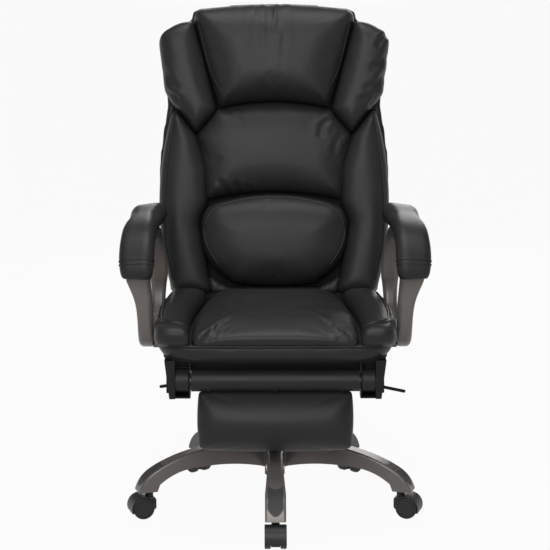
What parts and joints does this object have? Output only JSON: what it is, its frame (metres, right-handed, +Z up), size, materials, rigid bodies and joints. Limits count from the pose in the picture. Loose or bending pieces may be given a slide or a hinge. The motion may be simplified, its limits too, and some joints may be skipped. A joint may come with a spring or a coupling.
{
  "type": "reclining office chair",
  "caption": "High-backed black leather reclining office chair with padded loop arms, a star base on casters, a gas lift and a foot pad that slides out and flips up.",
  "frame": {"origin": "on the floor under the gas lift's axis, all casters standing on z = 0", "axes": "+Z up along the gas lift; the chair faces -Y; +X is the sitter's left"},
  "size_m": [0.681, 0.719, 1.1457],
  "materials": {
    "black_leather": "satin black, fine grain, sewn and piped",
    "titanium_nylon": "titanium-coloured glass-filled nylon, satin",
    "black_steel": "black powder coat",
    "plated_steel": "zinc plated",
    "lift_steel": "ground and plated",
    "black_plastic": "moulded black plastic",
    "grip_rubber": "dark grey grip pads",
    "caster_nylon": "black nylon",
    "plywood": "birch plywood"
  },
  "bodies": {
    "base": {"base_star": "titanium_nylon", "leg_grip_pads": "grip_rubber", "caster_stems": "plated_steel", "lift_outer_tube": "black_steel", "lift_guide_bush": "black_plastic", "column_cover_lower": "black_plastic"},
    "spindle": {"lift_piston_rod": "plated_steel", "lift_thrust_bearing": "plated_steel"},
    "seat": {"lift_gas_cylinder": "lift_steel", "column_cover_upper": "black_plastic", "seat_mechanism": "black_steel", "mechanism_bolts": "plated_steel", "lever_pins": "plated_steel", "seat_board": "plywood", "seat_border": "black_leather", "seat_cushion": "black_leather", "seat_bolster_left": "black_leather", "seat_bolster_right": "black_leather", "arm_frame_left": "titanium_nylon", "arm_frame_right": "titanium_nylon", "arm_pad_left": "black_leather", "arm_pad_right": "black_leather", "arm_bolts": "plated_steel", "footrest_guides": "black_steel", "recline_hinge_plates": "black_steel", "recline_spring_cylinder": "black_steel"},
    "lift_lever": {"lift_lever": "black_steel"},
    "lift_valve": {"lift_valve_button": "plated_steel"},
    "recline_lever": {"recline_lever": "black_steel"},
    "back": {"back_board": "plywood", "back_cover": "black_leather", "head_cushion": "black_leather", "wing_cushion_left": "black_leather", "wing_cushion_right": "black_leather", "back_cushion": "black_leather", "side_bolster_left": "black_leather", "side_bolster_right": "black_leather", "lumbar_cushion": "black_leather", "lower_back_panel": "black_leather", "recline_arms": "black_steel", "recline_shaft": "plated_steel", "recline_crank": "black_steel"},
    "spring_rod": {"recline_spring_rod": "plated_steel"},
    "footrest_carriage": {"footrest_rails": "black_steel", "footrest_brackets": "black_steel", "footrest_drums": "black_plastic", "footrest_hinge_rod": "plated_steel"},
    "foot_pad": {"footrest_roller": "black_plastic", "foot_pad_board": "plywood", "foot_pad_cushion": "black_leather"},
    "caster_1": {"caster_hood_1": "caster_nylon"},
    "wheels_1": {"caster_wheels_1": "caster_nylon"},
    "caster_2": {"caster_hood_2": "caster_nylon"},
    "wheels_2": {"caster_wheels_2": "caster_nylon"},
    "caster_3": {"caster_hood_3": "caster_nylon"},
    "wheels_3": {"caster_wheels_3": "caster_nylon"},
    "caster_4": {"caster_hood_4": "caster_nylon"},
    "wheels_4": {"caster_wheels_4": "caster_nylon"},
    "caster_5": {"caster_hood_5": "caster_nylon"},
    "wheels_5": {"caster_wheels_5": "caster_nylon"}
  },
  "joints": [
    {"name": "swivel", "type": "hinge", "parent": "base", "child": "spindle", "pos_m": [0, 0, 0], "axis": [0, 0, 1], "continuous": true},
    {"name": "lift", "type": "slide", "parent": "spindle", "child": "seat", "axis": [0, 0, 1], "range_m": [0, 0.085]},
    {"name": "lift_lever_pull", "type": "hinge", "parent": "seat", "child": "lift_lever", "pos_m": [-0.055, 0, 0.386], "axis": [0, 1, 0], "range_deg": [0, 4.5], "stiffness_Nm_per_rad": 12},
    {"name": "valve_press", "type": "slide", "parent": "seat", "child": "lift_valve", "axis": [0, 0, 1], "range_m": [-0.0048, 0]},
    {"name": "recline_lever_pull", "type": "hinge", "parent": "seat", "child": "recline_lever", "pos_m": [0.055, 0.04, 0.386], "axis": [0, -1, 0], "range_deg": [0, 4.5], "stiffness_Nm_per_rad": 12},
    {"name": "recline", "type": "hinge", "parent": "seat", "child": "back", "pos_m": [0, 0.218, 0.387], "axis": [-1, 0, 0], "range_deg": [0, 35]},
    {"name": "spring_stroke", "type": "slide", "parent": "seat", "child": "spring_rod", "axis": [0, -1, 0], "range_m": [0, 0.0363]},
    {"name": "footrest_slide", "type": "slide", "parent": "seat", "child": "footrest_carriage", "axis": [0, -1, 0], "range_m": [0, 0.24]},
    {"name": "foot_pad_flip", "type": "hinge", "parent": "footrest_carriage", "child": "foot_pad", "pos_m": [0, -0.232, 0.353], "axis": [-1, 0, 0], "range_deg": [0, 90]},
    {"name": "caster_swivel_1", "type": "hinge", "parent": "base", "child": "caster_1", "pos_m": [0, -0.301, 0.05], "axis": [0, 0, 1], "continuous": true},
    {"name": "wheel_spin_1", "type": "hinge", "parent": "caster_1", "child": "wheels_1", "pos_m": [0, -0.319, 0.0245], "axis": [1, 0, 0], "continuous": true},
    {"name": "caster_swivel_2", "type": "hinge", "parent": "base", "child": "caster_2", "pos_m": [0.28627, -0.09301, 0.05], "axis": [0, 0, 1], "continuous": true},
    {"name": "wheel_spin_2", "type": "hinge", "parent": "caster_2", "child": "wheels_2", "pos_m": [0.30339, -0.09858, 0.0245], "axis": [0.309, 0.9511, 0], "continuous": true},
    {"name": "caster_swivel_3", "type": "hinge", "parent": "base", "child": "caster_3", "pos_m": [0.17692, 0.24351, 0.05], "axis": [0, 0, 1], "continuous": true},
    {"name": "wheel_spin_3", "type": "hinge", "parent": "caster_3", "child": "wheels_3", "pos_m": [0.1875, 0.25808, 0.0245], "axis": [-0.809, 0.5878, 0], "continuous": true},
    {"name": "caster_swivel_4", "type": "hinge", "parent": "base", "child": "caster_4", "pos_m": [-0.17692, 0.24351, 0.05], "axis": [0, 0, 1], "continuous": true},
    {"name": "wheel_spin_4", "type": "hinge", "parent": "caster_4", "child": "wheels_4", "pos_m": [-0.1875, 0.25808, 0.0245], "axis": [-0.809, -0.5878, 0], "continuous": true},
    {"name": "caster_swivel_5", "type": "hinge", "parent": "base", "child": "caster_5", "pos_m": [-0.28627, -0.09301, 0.05], "axis": [0, 0, 1], "continuous": true},
    {"name": "wheel_spin_5", "type": "hinge", "parent": "caster_5", "child": "wheels_5", "pos_m": [-0.30339, -0.09858, 0.0245], "axis": [0.309, -0.9511, 0], "continuous": true}
  ],
  "couplings": [
    {"joint": "valve_press", "follows": "lift_lever_pull", "m_per_rad": -0.06},
    {"joint": "spring_stroke", "follows": "recline", "m_per_rad": 0.05907}
  ]
}
